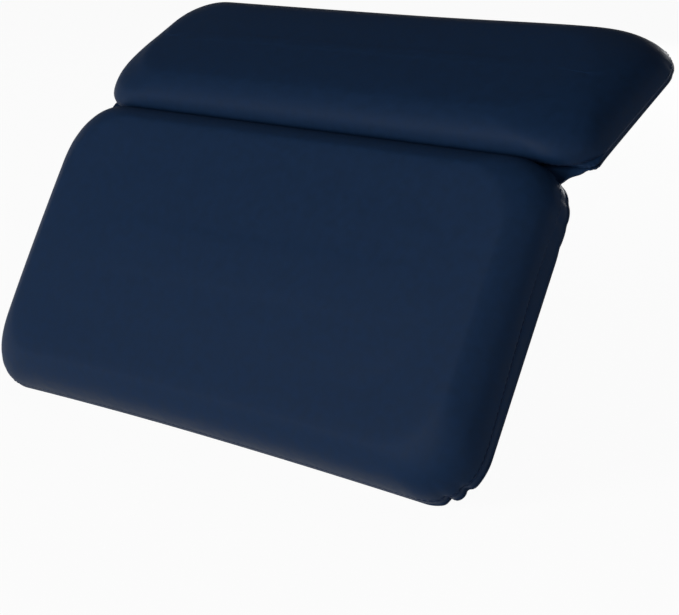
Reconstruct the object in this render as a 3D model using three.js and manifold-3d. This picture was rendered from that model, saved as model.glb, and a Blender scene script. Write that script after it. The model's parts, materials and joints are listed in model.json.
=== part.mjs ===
// Bath pillow: two foam pads in coated fabric, folded at a fabric hinge, with suction cups on the back.
// Millimetres, +Z up, +X along the hinge. The origin is on the tub wall, amid the lower pad's cups.
import * as THREE from 'three';
import { mergeVertices } from 'three/addons/utils/BufferGeometryUtils.js';
import Module from 'manifold-3d';

// Pads. The width is over the sewn lip, and a length runs from the hinge side to the lip of the free side.
// A thickness runs from the back to the top of the crown, and a corner is the lip's own.
const PAD_WIDTH = 368;
const LOWER_LENGTH = 180;
const UPPER_LENGTH = 109.5;
const LOWER_THICKNESS = 34;
const UPPER_THICKNESS = 32;
const LOWER_FREE_CORNER = 22;
const LOWER_HINGE_CORNER = 24;
const UPPER_FREE_CORNER = 21;
const UPPER_HINGE_CORNER = 17;

// Padded shape. The side stands up from the seam to one height, then rounds over into the crowned face.
// At the hinge it is drawn in under the pad, so that the two pads meet in a narrow crease.
// The corners grow rounder with each millimetre in from the lip.
const FULLEST_HEIGHT = 8;
const EDGE_ROUND = 28;
const CROWN = 4;
const CROWN_STRIP = 14;
const HINGE_DRAW_IN = 5.5;
const CORNER_GROWTH = 0.3;

// Sewn edge. The front cover and the back panel meet in a flat lip outside the seam.
const COVER_SHEET = 1.2;
const SIDE_LIP = 2;
const FREE_LIP = 2;
const HINGE_LIP = 1;
const FIT_GAP = 0.3;

// Fabric hinge, as it stands: the lower pad leans from the floor and the upper pad bends from flat.
const HINGE_GAP = 1;
const HINGE_WEB_INSET = 16;
const LEAN = THREE.MathUtils.degToRad(60.5);
const FOLD = THREE.MathUtils.degToRad(34);

// Suction cups, in two rows of two on the lower pad and one row of three on the upper pad.
// A row is measured from the hinge side, and a margin from the pad's own edge to the middle of a cup.
const LOWER_CUP_ROW = 50;
const LOWER_CUP_FREE_MARGIN = 46;
const LOWER_CUP_SIDE_MARGIN = 59;
const UPPER_CUP_ROW = 56;
const UPPER_CUP_SIDE_MARGIN = 92;
const CUP_DIAMETER = 50;
const CUP_RIM_LAND = 2.5;
const CUP_RIM_EDGE = 1.2;
const CUP_HOLLOW = 8;
const CUP_DOME = 11;
const CUP_HEIGHT = 15;
const CUP_HUB_DIAMETER = 16;
const NECK_DIAMETER = 9;
const HEAD_DIAMETER = 14;
const HEAD_HEIGHT = 4.5;
const HEAD_ROUND = 2;

// Grommets that grip the back panel and hold the cups.
const GROMMET_WALL = 1.6;
const GROMMET_FLANGE = 1.6;
const GROMMET_DIAMETER = 23;
const FOAM_RELIEF = 0.5;

// Fineness of the round shapes.
const CORNER_DIVISIONS = 3;
const SIDE_STEPS = 3;
const ROUND_STEPS = 5;
const CROWN_STEPS = 3;
const CURVE_STEPS = 4;
const TURN_STEPS = 16;
const WEB_ROWS = 8;
const FLARE_STEPS = 4;
const CORNER_CLEARANCE = 1;
const DOME_FULLNESS = 2 / 3;

// Colours and finishes.
const NAVY = { color: 0x22334d, roughness: 0.62, metalness: 0 };
const FOAM = { color: 0xe9e4d6, roughness: 0.95, metalness: 0 };
const CLEAR_VINYL = { color: 0xd5dde2, roughness: 0.22, metalness: 0 };
const DARK_VINYL = { color: 0x18243a, roughness: 0.4, metalness: 0 };

// Heights above the back of a pad, and levels along the axis of a cup, from its rim.
const LIP_BOTTOM = COVER_SHEET + FIT_GAP;
const LIP_TOP = LIP_BOTTOM + COVER_SHEET;
const NECK_TOP = CUP_HEIGHT + 2 * GROMMET_FLANGE + COVER_SHEET + 4 * FIT_GAP;
const CUP_STANDOFF = CUP_HEIGHT + GROMMET_FLANGE + 2 * FIT_GAP;
const HEAD_TOP = NECK_TOP + HEAD_HEIGHT - CUP_STANDOFF;
const BORE_RADIUS = NECK_DIAMETER / 2 + FIT_GAP;
const BARREL_RADIUS = BORE_RADIUS + GROMMET_WALL;
const HOLE_RADIUS = BARREL_RADIUS + FIT_GAP;
const HINGE_HEIGHT = COVER_SHEET / 2;
const HINGE_LIP_INSET = HINGE_DRAW_IN - HINGE_LIP;
const LIP_EDGE = { side: 0, free: 0, hinge: HINGE_LIP_INSET };
const LOWER_CUP_X = PAD_WIDTH / 2 - LOWER_CUP_SIDE_MARGIN;
const LOWER_CUP_FAR_ROW = LOWER_LENGTH - LOWER_CUP_FREE_MARGIN;
const UPPER_CUP_X = PAD_WIDTH / 2 - UPPER_CUP_SIDE_MARGIN;
const QUARTER_TURN = Math.PI / 2;

const LOWER_PAD = {
  name: 'lower',
  length: LOWER_LENGTH,
  thickness: LOWER_THICKNESS,
  freeCorner: LOWER_FREE_CORNER,
  hingeCorner: LOWER_HINGE_CORNER,
  cups: [
    [LOWER_CUP_X, LOWER_CUP_ROW],
    [-LOWER_CUP_X, LOWER_CUP_ROW],
    [LOWER_CUP_X, LOWER_CUP_FAR_ROW],
    [-LOWER_CUP_X, LOWER_CUP_FAR_ROW],
  ],
};

const UPPER_PAD = {
  name: 'upper',
  length: UPPER_LENGTH,
  thickness: UPPER_THICKNESS,
  freeCorner: UPPER_FREE_CORNER,
  hingeCorner: UPPER_HINGE_CORNER,
  cups: [
    [-UPPER_CUP_X, UPPER_CUP_ROW],
    [0, UPPER_CUP_ROW],
    [UPPER_CUP_X, UPPER_CUP_ROW],
  ],
};

const wasm = await Module();
wasm.setup();

// Turns a closed geometry into a solid for cutting.
function toSolid(geometry) {
  const bare = geometry.clone();
  bare.deleteAttribute('normal');
  bare.deleteAttribute('uv');
  const welded = mergeVertices(bare);
  const vertProperties = new Float32Array(welded.attributes.position.array);
  const triVerts = new Uint32Array(welded.index.array);
  return new wasm.Manifold(new wasm.Mesh({ numProp: 3, vertProperties, triVerts }));
}

// Turns a solid back into a geometry.
function toGeometry(solid) {
  const mesh = solid.getMesh();
  const geometry = new THREE.BufferGeometry();
  geometry.setAttribute('position', new THREE.BufferAttribute(mesh.vertProperties, 3));
  geometry.setIndex(new THREE.BufferAttribute(mesh.triVerts, 1));
  return geometry;
}

function makeMesh(name, geometry, finish) {
  geometry.computeVertexNormals();
  const mesh = new THREE.Mesh(geometry, new THREE.MeshStandardMaterial(finish));
  mesh.name = name;
  return mesh;
}

// A closed skin through rings with equal counts of points, flat-capped at its first and last ring.
// The rings run anticlockwise seen from above, and the first cap faces up.
function loft(rings) {
  const count = rings[0].length;
  const last = (rings.length - 1) * count;
  const positions = rings.flat().flatMap((point) => point.toArray());
  const index = [];
  for (let ring = 0; ring < rings.length - 1; ring += 1) {
    for (let step = 0; step < count; step += 1) {
      const here = ring * count + step;
      const next = ring * count + ((step + 1) % count);
      index.push(here, here + count, next, next, here + count, next + count);
    }
  }
  for (const [a, b, c] of THREE.ShapeUtils.triangulateShape(rings[0], [])) {
    index.push(a, b, c);
  }
  for (const [a, b, c] of THREE.ShapeUtils.triangulateShape(rings.at(-1), [])) {
    index.push(last + c, last + b, last + a);
  }
  const geometry = new THREE.BufferGeometry();
  geometry.setAttribute('position', new THREE.Float32BufferAttribute(positions, 3));
  geometry.setIndex(index);
  return geometry;
}

// A pad's outline, some way inside the lip's edge on three sides and inside the hinge side, which is y = 0.
function padOutline(pad, inset) {
  const right = PAD_WIDTH / 2 - inset.side;
  const free = pad.length - inset.free;
  const roundest = (free - inset.hinge - CORNER_CLEARANCE) / 2;
  const growth = CORNER_GROWTH * inset.side;
  const freeRadius = Math.min(pad.freeCorner + growth, roundest);
  const hingeRadius = Math.min(pad.hingeCorner + growth, roundest);
  const corners = [
    [right - freeRadius, free - freeRadius, freeRadius],
    [freeRadius - right, free - freeRadius, freeRadius],
    [hingeRadius - right, inset.hinge + hingeRadius, hingeRadius],
    [right - hingeRadius, inset.hinge + hingeRadius, hingeRadius],
  ];
  const outline = new THREE.Path();
  corners.forEach(([x, y, radius], turn) => {
    outline.absarc(x, y, radius, turn * QUARTER_TURN, (turn + 1) * QUARTER_TURN);
  });
  return outline.getPoints(CORNER_DIVISIONS);
}

function padRing(pad, height, inset) {
  return padOutline(pad, inset).map((point) => new THREE.Vector3(point.x, point.y, height));
}

// Insets of the cover's side, a depth in from its seam, with the hinge side drawn in by an amount of its own.
function seamInset(depth, drawIn = 0) {
  return { side: SIDE_LIP + depth, free: FREE_LIP + depth, hinge: drawIn + depth };
}

// The ring where the cover, or what lies a depth inside it, stands on the back sheet.
function footRing(pad, depth) {
  return padRing(pad, LIP_BOTTOM, seamInset(depth, HINGE_DRAW_IN));
}

// The cover's outer profile from seam to crown: depth in from the seam, draw-in at the hinge and height.
function coverProfile(pad) {
  const crownDepth = (pad.length - FREE_LIP) / 2 - CROWN_STRIP;
  const rise = pad.thickness - CROWN - FULLEST_HEIGHT;
  const crownAt = (depth) => CROWN * (1 - (1 - depth / crownDepth) ** 2);
  const profile = [];
  for (let step = 0; step <= SIDE_STEPS; step += 1) {
    const climb = step / SIDE_STEPS;
    const drawIn = HINGE_DRAW_IN * (1 - Math.sin(climb * QUARTER_TURN));
    profile.push({ depth: 0, drawIn, height: THREE.MathUtils.lerp(LIP_TOP, FULLEST_HEIGHT, climb) });
  }
  for (let step = 1; step <= ROUND_STEPS; step += 1) {
    const angle = (step / ROUND_STEPS) * QUARTER_TURN;
    const depth = EDGE_ROUND * (1 - Math.cos(angle));
    profile.push({ depth, drawIn: 0, height: FULLEST_HEIGHT + rise * Math.sin(angle) + crownAt(depth) });
  }
  for (let step = 1; step <= CROWN_STEPS; step += 1) {
    const depth = THREE.MathUtils.lerp(EDGE_ROUND, crownDepth, step / CROWN_STEPS);
    profile.push({ depth, drawIn: 0, height: FULLEST_HEIGHT + rise + crownAt(depth) });
  }
  return profile;
}

// The same profile moved into the pad, square to itself.
function sinkProfile(profile, sink) {
  return profile.map(({ depth, drawIn, height }, step) => {
    const before = profile[Math.max(step - 1, 0)];
    const after = profile[Math.min(step + 1, profile.length - 1)];
    const along = new THREE.Vector2(after.depth - before.depth, after.height - before.height).normalize();
    return { depth: depth + sink * along.y, drawIn, height: height - sink * along.x };
  });
}

function profileRings(pad, profile) {
  return profile.map(({ depth, drawIn, height }) => padRing(pad, height, seamInset(depth, drawIn)));
}

// The front cover: a thin crowned shell, open at the back, with the sewn lip round its foot.
function frontCover(pad) {
  const outside = coverProfile(pad);
  const inside = sinkProfile(outside, COVER_SHEET);
  const rings = profileRings(pad, outside.toReversed());
  rings.push(padRing(pad, LIP_TOP, LIP_EDGE));
  rings.push(padRing(pad, LIP_BOTTOM, LIP_EDGE));
  rings.push(footRing(pad, COVER_SHEET));
  rings.push(...profileRings(pad, inside));
  return loft(rings);
}

// The foam core fills the cover, with a relief over each grommet and cup head.
function foamCore(pad) {
  const depth = COVER_SHEET + FIT_GAP;
  const rings = profileRings(pad, sinkProfile(coverProfile(pad), depth).toReversed());
  rings.push(footRing(pad, depth));
  const reliefRadius = Math.max(GROMMET_DIAMETER, HEAD_DIAMETER) / 2 + FOAM_RELIEF;
  const reliefHeight = HEAD_TOP + FOAM_RELIEF;
  let core = toSolid(loft(rings));
  for (const [x, y] of pad.cups) {
    const relief = new THREE.CylinderGeometry(reliefRadius, reliefRadius, reliefHeight, TURN_STEPS);
    relief.rotateX(QUARTER_TURN);
    relief.translate(x, y, reliefHeight / 2);
    core = core.subtract(toSolid(relief));
  }
  return toGeometry(core);
}

// The flat panel of the back sheet, with a hole for each grommet.
function backPanel(pad) {
  const outline = new THREE.Shape(padOutline(pad, LIP_EDGE));
  for (const [x, y] of pad.cups) {
    outline.holes.push(new THREE.Path().absarc(x, y, HOLE_RADIUS, 0, 2 * Math.PI));
  }
  return new THREE.ExtrudeGeometry(outline, {
    depth: COVER_SHEET,
    bevelEnabled: false,
    curveSegments: TURN_STEPS / 2,
  });
}

// Where the straight hinge-side edge of a panel ends and its corner starts.
function cornerStart(pad) {
  return PAD_WIDTH / 2 - pad.hingeCorner;
}

// How far a panel's hinge-side edge lies from the hinge line, at a place across the width.
function panelEdge(pad, x) {
  const past = Math.max(Math.abs(x) - cornerStart(pad), 0);
  const drop = pad.hingeCorner - Math.sqrt(pad.hingeCorner ** 2 - past ** 2);
  return HINGE_GAP + HINGE_LIP_INSET + drop;
}

// The stretch of the back sheet between the panels. It bends in an arc and flares into the panels' corners.
// Seen along +X it runs from the lower panel (y < 0) to the upper one, which leans back by the fold.
function hingeWeb() {
  const bendHalf = HINGE_GAP + HINGE_LIP_INSET - FIT_GAP;
  const bendRadius = bendHalf / Math.tan(FOLD / 2);
  const arcHalf = (bendRadius * FOLD) / 2;
  const bent = (across, height) => {
    const along = THREE.MathUtils.clamp(across, -arcHalf, arcHalf);
    const straight = across - along;
    const angle = FOLD / 2 + along / bendRadius;
    const radius = bendRadius + height;
    const y = radius * Math.sin(angle) + straight * Math.cos(angle) - bendHalf;
    const z = radius * Math.cos(angle) - straight * Math.sin(angle) - bendRadius + HINGE_HEIGHT;
    return [y, z];
  };
  const section = (x) => {
    const slack = bendHalf + FIT_GAP - arcHalf;
    const lower = slack - panelEdge(LOWER_PAD, x);
    const upper = panelEdge(UPPER_PAD, x) - slack;
    const front = [];
    for (let row = 0; row <= WEB_ROWS; row += 1) {
      front.push([THREE.MathUtils.lerp(lower, upper, row / WEB_ROWS), HINGE_HEIGHT]);
    }
    const back = front.toReversed().map(([across, height]) => [across, -height]);
    return [...front, ...back].map(([across, height]) => new THREE.Vector3(x, ...bent(across, height)));
  };
  const end = PAD_WIDTH / 2 - HINGE_WEB_INSET;
  const flareStart = Math.min(cornerStart(LOWER_PAD), cornerStart(UPPER_PAD), end);
  const columns = [];
  for (let step = 0; step <= FLARE_STEPS; step += 1) {
    columns.push(THREE.MathUtils.lerp(end, flareStart, step / FLARE_STEPS));
  }
  return loftAlongX([...columns, ...columns.toReversed().map((x) => -x)].map(section));
}

// Lofts sections that lie square to X, from the largest x to the least.
function loftAlongX(sections) {
  const flat = sections.map((ring) => ring.map((point) => new THREE.Vector3(point.y, point.z, point.x)));
  const geometry = loft(flat.map((ring) => ring.toReversed()));
  return geometry.rotateX(QUARTER_TURN).rotateZ(QUARTER_TURN);
}

function turned(points) {
  return new THREE.LatheGeometry(points, TURN_STEPS).rotateX(QUARTER_TURN);
}

// A suction cup: a hollow dome with a flat rim land, a hub, and a neck and head that snap into a grommet.
function suctionCup() {
  const rim = CUP_DIAMETER / 2;
  const hub = CUP_HUB_DIAMETER / 2;
  const neck = NECK_DIAMETER / 2;
  const head = HEAD_DIAMETER / 2;
  const headTop = NECK_TOP + HEAD_HEIGHT;
  const land = rim - CUP_RIM_LAND;
  const hollow = new THREE.QuadraticBezierCurve(
    new THREE.Vector2(0, CUP_HOLLOW),
    new THREE.Vector2(THREE.MathUtils.lerp(hub, land, DOME_FULLNESS), CUP_HOLLOW),
    new THREE.Vector2(land, 0),
  );
  const dome = new THREE.QuadraticBezierCurve(
    new THREE.Vector2(rim, CUP_RIM_EDGE),
    new THREE.Vector2(THREE.MathUtils.lerp(hub, rim, DOME_FULLNESS), CUP_DOME),
    new THREE.Vector2(hub, CUP_DOME),
  );
  return turned([
    ...hollow.getPoints(CURVE_STEPS),
    new THREE.Vector2(rim, 0),
    ...dome.getPoints(CURVE_STEPS),
    new THREE.Vector2(hub, CUP_HEIGHT),
    new THREE.Vector2(neck, CUP_HEIGHT),
    new THREE.Vector2(neck, NECK_TOP),
    new THREE.Vector2(head, NECK_TOP),
    new THREE.Vector2(head, headTop - HEAD_ROUND),
    new THREE.Vector2(head - HEAD_ROUND, headTop),
    new THREE.Vector2(0, headTop),
  ]);
}

// A grommet: a barrel through the back panel with a flange on each side, its rear flange at height zero.
function grommet() {
  const flange = GROMMET_DIAMETER / 2;
  const grip = COVER_SHEET + 2 * FIT_GAP;
  const length = 2 * GROMMET_FLANGE + grip;
  return turned([
    new THREE.Vector2(BORE_RADIUS, 0),
    new THREE.Vector2(flange, 0),
    new THREE.Vector2(flange, GROMMET_FLANGE),
    new THREE.Vector2(BARREL_RADIUS, GROMMET_FLANGE),
    new THREE.Vector2(BARREL_RADIUS, GROMMET_FLANGE + grip),
    new THREE.Vector2(flange, GROMMET_FLANGE + grip),
    new THREE.Vector2(flange, length),
    new THREE.Vector2(BORE_RADIUS, length),
    new THREE.Vector2(BORE_RADIUS, 0),
  ]);
}

// One pad with its cups. The hinge side lies along y = 0, the back on z = 0 and the free side towards +y.
function makePad(pad) {
  const group = new THREE.Group();
  group.add(makeMesh(`${pad.name}_front_cover`, frontCover(pad), NAVY));
  group.add(makeMesh(`${pad.name}_foam_core`, foamCore(pad), FOAM));
  group.add(makeMesh(`${pad.name}_back_panel`, backPanel(pad), NAVY));
  pad.cups.forEach(([x, y], step) => {
    const cup = makeMesh(`${pad.name}_suction_cup_${step + 1}`, suctionCup(), CLEAR_VINYL);
    cup.position.set(x, y, -CUP_STANDOFF);
    const ring = makeMesh(`${pad.name}_cup_grommet_${step + 1}`, grommet(), DARK_VINYL);
    ring.position.set(x, y, -GROMMET_FLANGE - FIT_GAP);
    group.add(cup, ring);
  });
  return group;
}

const lowerPad = makePad(LOWER_PAD);
lowerPad.rotation.z = Math.PI;
lowerPad.position.y = -HINGE_GAP;

const upperPad = makePad(UPPER_PAD);
upperPad.position.set(0, HINGE_GAP, -HINGE_HEIGHT);

const fold = new THREE.Group();
fold.position.z = HINGE_HEIGHT;
fold.rotation.x = -FOLD;
fold.add(upperPad);

const onWall = new THREE.Group();
onWall.position.set(0, HINGE_GAP + (LOWER_CUP_ROW + LOWER_CUP_FAR_ROW) / 2, CUP_STANDOFF);
onWall.add(lowerPad, makeMesh('hinge_web', hingeWeb(), NAVY), fold);

const bathPillow = new THREE.Group();
bathPillow.rotation.x = LEAN;
bathPillow.add(onWall);

export default bathPillow;
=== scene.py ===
"""Bath pillow: the looks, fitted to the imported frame.

Two foam pads in coated navy fabric are sewn to one back sheet, which bends between them. Clear suction cups
sit in grommets on the back. Everything is in metres, in the frame's own axes: +X along the fold, +Y to the
wall, +Z up.
"""
import json
import logging
import math
from dataclasses import dataclass, replace
from enum import Enum
from typing import ClassVar

import bpy
import numpy as np
from mathutils import Matrix, Vector
from mathutils.geometry import delaunay_2d_cdt


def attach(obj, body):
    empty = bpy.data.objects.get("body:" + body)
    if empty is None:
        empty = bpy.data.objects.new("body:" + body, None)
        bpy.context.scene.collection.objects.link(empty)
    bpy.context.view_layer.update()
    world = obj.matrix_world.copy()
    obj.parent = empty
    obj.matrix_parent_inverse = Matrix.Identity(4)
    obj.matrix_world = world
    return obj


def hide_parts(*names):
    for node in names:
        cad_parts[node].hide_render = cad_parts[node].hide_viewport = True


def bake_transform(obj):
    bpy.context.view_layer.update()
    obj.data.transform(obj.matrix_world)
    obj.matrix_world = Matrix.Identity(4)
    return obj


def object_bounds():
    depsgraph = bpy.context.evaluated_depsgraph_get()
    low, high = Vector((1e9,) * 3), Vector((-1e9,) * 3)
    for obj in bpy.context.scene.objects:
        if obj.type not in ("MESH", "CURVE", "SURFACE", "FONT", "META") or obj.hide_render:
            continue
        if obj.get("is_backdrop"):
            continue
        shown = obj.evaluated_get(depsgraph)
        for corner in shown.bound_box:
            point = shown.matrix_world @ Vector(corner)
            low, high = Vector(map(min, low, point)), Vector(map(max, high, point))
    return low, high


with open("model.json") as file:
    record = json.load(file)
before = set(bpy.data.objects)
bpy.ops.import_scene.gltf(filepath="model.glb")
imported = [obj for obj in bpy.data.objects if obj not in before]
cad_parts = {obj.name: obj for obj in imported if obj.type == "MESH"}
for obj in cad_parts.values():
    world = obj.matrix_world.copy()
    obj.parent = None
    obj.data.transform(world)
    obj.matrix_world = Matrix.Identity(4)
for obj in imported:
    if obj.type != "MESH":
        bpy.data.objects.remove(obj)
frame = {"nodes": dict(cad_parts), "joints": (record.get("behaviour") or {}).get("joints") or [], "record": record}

LOG = logging.getLogger("bath_pillow")
MM = 0.001
CAD_BOX = [list(corner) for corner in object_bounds()]
PHOTO_WIDTH = 679


class PadSide(Enum):
    """The two pads, by the first word of their nodes' names."""

    LOWER = "lower"
    UPPER = "upper"


class Corner(Enum):
    """A pad's corners in the order of its outline, which runs anticlockwise seen from the front."""

    FREE_START = 0
    FREE_END = 1
    HINGE_END = 2
    HINGE_START = 3


@dataclass(frozen=True)
class Sewing:
    """Sizes that the covers, the back sheet and the stitches share.

    Attributes:
        sheet: thickness of the coated fabric.
        lip: width of the sewn lip that stands out from the foot of a cover.
        lip_edge: thickness of the lip at its edge.
        hinge_lip: from a pad's hinge side in to the lip's edge there.
        hinge_gap: from the hinge line to a pad's hinge side.
        stitch_height: height of the row of stitches above the back.
        hinge_give: a distance from the hinge line; not used.
    """

    sheet: float = 1.2 * MM
    lip: float = 0.25 * MM
    lip_edge: float = 1.0 * MM
    hinge_lip: float = 1.5 * MM
    hinge_gap: float = 1.0 * MM
    stitch_height: float = 6.5 * MM
    hinge_give: float = 24.0 * MM


SEWING = Sewing()
LIP_TOP = SEWING.sheet + SEWING.lip_edge


@dataclass(frozen=True)
class Inset:
    """How far in a ring of the pad lies.

    Attributes:
        side: inside the lip's edge, at the two ends and the free side.
        hinge: inside the hinge side.
    """

    side: float
    hinge: float


LIP_EDGE = Inset(0.0, SEWING.hinge_lip)
FINE_STEPS = 4
FLAT_TOLERANCE = 1e-7
MERGE_DISTANCE = 1e-6


def deselect_all() -> None:
    if bpy.context.object and bpy.context.object.mode != "OBJECT":
        bpy.ops.object.mode_set(mode="OBJECT")
    bpy.ops.object.select_all(action="DESELECT")


def make_active(piece: bpy.types.Object) -> None:
    """Selects one object alone and makes it the active one.

    Args:
        piece: the object.
    """
    deselect_all()
    piece.select_set(True)
    bpy.context.view_layer.objects.active = piece


def mesh_object(name: str, points: np.ndarray, faces: list[tuple[int, ...]]) -> bpy.types.Object:
    """Makes a smooth-shaded mesh object.

    Args:
        name: the piece's name.
        points: its corners, one row each.
        faces: corner numbers of each face.

    Returns:
        The new object, linked to the scene.
    """
    mesh = bpy.data.meshes.new(name)
    mesh.from_pydata([tuple(point) for point in points], [], faces)
    mesh.validate()
    piece = bpy.data.objects.new(name, mesh)
    bpy.context.scene.collection.objects.link(piece)
    mesh.polygons.foreach_set("use_smooth", [True] * len(mesh.polygons))
    return piece


def corners_of(piece: bpy.types.Object) -> np.ndarray:
    """Reads a mesh's corners.

    Args:
        piece: the mesh's object.

    Returns:
        The corners as an array, one row each.
    """
    flat = np.empty(len(piece.data.vertices) * 3)
    piece.data.vertices.foreach_get("co", flat)
    return flat.reshape(-1, 3)


def set_corners(piece: bpy.types.Object, points: np.ndarray) -> None:
    """Moves a mesh's corners to the given points."""
    piece.data.vertices.foreach_set("co", points.ravel())
    piece.data.update()


def apply_modifier(piece: bpy.types.Object, modifier: bpy.types.Modifier) -> None:
    """Applies one modifier to a piece."""
    make_active(piece)
    bpy.ops.object.modifier_apply(modifier=modifier.name)


def subdivide(piece: bpy.types.Object, levels: int) -> None:
    """Smooths a piece by subdivision.

    Args:
        piece: the piece.
        levels: how often each face is split in four.
    """
    modifier = piece.modifiers.new("Subdivision", "SUBSURF")
    modifier.levels = levels
    modifier.render_levels = levels
    apply_modifier(piece, modifier)


def smooth_step(value: np.ndarray) -> np.ndarray:
    """Returns 0 below 0, 1 above 1 and a smooth climb between."""
    held = np.clip(value, 0.0, 1.0)
    return held * held * (3.0 - 2.0 * held)


@dataclass(frozen=True)
class PadPlace:
    """Where a pad lies in the frame.

    Attributes:
        hinge: the hinge line's middle, on the back of the pad's plane.
        across: the way across the pad, along the hinge.
        free: the way from the hinge to the free side.
        front: the way out of the padded face.
    """

    hinge: Vector
    across: Vector
    free: Vector
    front: Vector

    @classmethod
    def from_frame(cls, side: PadSide) -> "PadPlace":
        """Reads a pad's place from the fold joint and the rims of its cups.

        Args:
            side: which pad.

        Returns:
            The pad's place.
        """
        fold = next(joint for joint in frame["joints"] if joint["name"] == "fold")
        rim = next(m for m in frame["record"]["mounts"] if m["name"] == f"{side.value}_cup_rim_1")
        front = -Vector(rim["axis"]).normalized()
        across = Vector((-1, 0, 0)) if side is PadSide.LOWER else Vector((1, 0, 0))
        hinge = Vector(fold["pos_m"]) - front * SEWING.sheet / 2
        return cls(hinge, across, front.cross(across), front)

    def matrix(self) -> Matrix:
        """Returns the matrix from the pad's own axes to the frame's."""
        turn = Matrix((self.across, self.free, self.front)).transposed()
        return Matrix.Translation(self.hinge) @ turn.to_4x4()

    def measure(self, node: str) -> tuple[np.ndarray, np.ndarray]:
        """Measures a CAD node along the pad's own axes.

        Args:
            node: the node's name.

        Returns:
            Its lowest and highest corner.
        """
        inverse = self.matrix().inverted()
        points = np.array([inverse @ corner.co for corner in frame["nodes"][node].data.vertices])
        return points.min(0), points.max(0)

    def seat(self, piece: bpy.types.Object) -> None:
        """Moves a mesh made along the pad's own axes to its place in the frame."""
        piece.data.transform(self.matrix())
        piece.data.update()


def bend_with_hinge(piece: bpy.types.Object) -> None:
    """Bakes a piece's placement into its mesh.

    Args:
        piece: the piece.
    """
    lower = PadPlace.from_frame(PadSide.LOWER)
    upper = PadPlace.from_frame(PadSide.UPPER)
    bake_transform(piece)


@dataclass(frozen=True)
class Pleats:
    """How the cover is eased round one corner: pleats that start at the lip and run out up the side.

    Attributes:
        places: where they lie, as shares of the corner's quarter turn.
        pitch: the width of one, as a share of the quarter turn.
        depth: how deep they cut into the lip's edge.
        wall: how deep they start on the side of the cover.
        reach: how far up the side they run.
        start: how far inside the lip's edge they begin.
        run: how far they take to reach their full depth.
        sharpness: power of a pleat's section: 1 is a plain valley, more is a narrower one.
    """

    places: tuple[float, ...]
    pitch: float
    depth: float
    wall: float
    reach: float
    start: float = 12.0 * MM
    run: float = 10.0 * MM
    sharpness: float = 1.3

    def mirrored(self) -> "Pleats":
        """Returns the same pleats for the corner at the pad's other end."""
        return replace(self, places=tuple(1 - place for place in self.places))


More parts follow.
